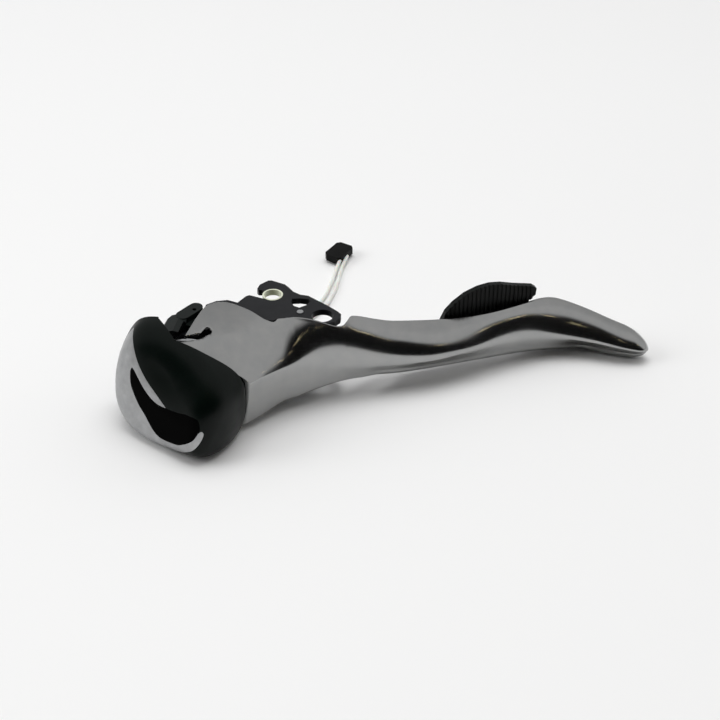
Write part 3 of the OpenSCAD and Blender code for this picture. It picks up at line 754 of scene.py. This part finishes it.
def add_cap():
    shell = cap_shell()
    boolean(shell, prism("opening_tool", CAP_OPENING, *CAP_OPENING_LEVELS, place))
    swoosh, right, left, top, hook = (through(line, 6, closed=False)
                                      for line in (SWOOSH, GLOSS_RIGHT, GLOSS_LEFT, BADGE_TOP, BADGE_HOOK))
    outer, below = [(-62, 36)], [(-40, -4), (-62, -6)]
    gloss_line = swoosh[:-1] + right[:-1] + left[:-1]
    badge_line = outer + top[:-1] + left[:-1] + swoosh[:-1] + hook + below
    both_line = outer + top[:-1] + right[::-1][:-1] + hook + below
    panel = copy_of(shell, "badge_panel_shell")
    insert = copy_of(shell, "gloss_insert_shell")
    boolean(insert, prism("gloss_tool", gloss_line, *GLOSS_DEPTHS, along_axle), "INTERSECT")
    boolean(panel, prism("badge_tool", badge_line, *BADGE_DEPTHS, along_axle), "INTERSECT")
    boolean(shell, prism("both_tool", both_line, *BADGE_DEPTHS, along_axle))
    shell.name = "name_cap_shell"
    for obj, slot_name, node in ((shell, "name_plate", "name_cap"), (panel, "silver_panel", "badge_panel"),
                                 (insert, "gloss_black", "gloss_insert")):
        true_normals(obj)
        dress(obj, slot_name)
        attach(obj, "root")
        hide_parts(node)


# Floor, lights and surroundings
def add_floor():
    bm = bmesh.new()
    size = 3.0
    corners = [(-size, -size), (size, -size), (size, size), (-size, size)]
    bm.faces.new([bm.verts.new((x, y, TABLE * MM)) for x, y in corners])
    floor = from_bmesh("floor", bm)
    s = Shader("floor").set(Roughness=0.9, Specular_IOR_Level=0.1)
    s.ramp(s.noise(3, 2), [(0.3, (0.895, 0.895, 0.895)), (0.7, (0.905, 0.905, 0.905))], "Base Color")
    floor.data.materials.append(s.mat)


def add_lamp(name, place_m, size, energy, target=(0, 0, 0)):
    data = bpy.data.lights.new(name, "AREA")
    data.shape = "RECTANGLE"
    data.size, data.size_y = size
    data.energy = energy
    lamp = bpy.data.objects.new(name, data)
    bpy.context.scene.collection.objects.link(lamp)
    lamp.location = place_m
    lamp.rotation_euler = (Vector(target) - Vector(place_m)).to_track_quat("-Z", "Y").to_euler()
    return lamp


# The studio, along the level direction from the part to the camera: pale behind the part, dark before it
TO_CAMERA = (-0.342, -0.940, 0)
STUDIO = [(0.0, 0.52), (0.1, 0.55), (0.38, 0.74), (0.6, 0.72), (0.69, 0.014), (1.0, 0.01)]


def add_world():
    world = bpy.data.worlds.new("studio")
    bpy.context.scene.world = world
    world.use_nodes = True
    tree = world.node_tree
    nodes, links = tree.nodes, tree.links
    background = nodes["Background"]
    coordinates = nodes.new("ShaderNodeTexCoord")
    facing = nodes.new("ShaderNodeVectorMath")
    facing.operation = "DOT_PRODUCT"
    facing.inputs[1].default_value = TO_CAMERA
    links.new(coordinates.outputs["Generated"], facing.inputs[0])
    half = nodes.new("ShaderNodeMapRange")
    half.inputs["From Min"].default_value = -1
    links.new(facing.outputs["Value"], half.inputs["Value"])
    ramp = nodes.new("ShaderNodeValToRGB")
    elements = ramp.color_ramp.elements
    while len(elements) < len(STUDIO):
        elements.new(0.5)
    for element, (where, level) in zip(elements, STUDIO):
        element.position = where
        element.color = (level, level, level, 1)
    links.new(half.outputs["Result"], ramp.inputs["Fac"])
    links.new(ramp.outputs["Color"], background.inputs["Color"])
    path = nodes.new("ShaderNodeLightPath")
    plain = nodes.new("ShaderNodeBackground")
    plain.inputs["Color"].default_value = (0.905, 0.905, 0.91, 1)
    choose = nodes.new("ShaderNodeMixShader")
    links.new(path.outputs["Is Camera Ray"], choose.inputs["Fac"])
    links.new(background.outputs["Background"], choose.inputs[1])
    links.new(plain.outputs["Background"], choose.inputs[2])
    links.new(choose.outputs["Shader"], nodes["World Output"].inputs["Surface"])


# Small warm lamps whose reflections dot the dark band
SPARK_SIZE = (0.022, 0.022)
SPARK_ENERGY = 0.02
SPARK_COLOUR = (1, 0.83, 0.5)
SPARKS = [(-0.25, -0.5, 0.75), (0.1, -0.55, 0.7), (0.45, -0.5, 0.62), (0.75, -0.45, 0.6)]


def add_lights():
    """Two soft fill lamps that metal doesn't mirror, and the sparks."""
    for lamp in (add_lamp("fill_top", (0.1, 0.1, 1.1), (0.9, 0.7), 6.0),
                 add_lamp("fill_left", (-0.9, 0.2, 0.6), (0.5, 0.6), 3.3)):
        lamp.visible_glossy = False
    for i, where in enumerate(SPARKS):
        add_lamp("spark_%d" % i, where, SPARK_SIZE, SPARK_ENERGY).data.color = SPARK_COLOUR


def dress_frame():
    """Every CAD node that still shows gets its material."""
    for name, obj in NODES.items():
        material = MATERIALS[SLOTS[name]]
        if not obj.material_slots:
            obj.data.materials.append(material)
        for slot in obj.material_slots:
            slot.material = material


add_camera()
add_wire("lead_wire_a", WIRE_A)
add_wire("lead_wire_b", WIRE_B)
add_floor()
add_world()
add_lights()
blade = add_blade()
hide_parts("lever_blade")
add_trimmed("support_plate_upper", "root")
add_cap()
dress_frame()

bpy.context.scene.view_settings.view_transform = "Standard"
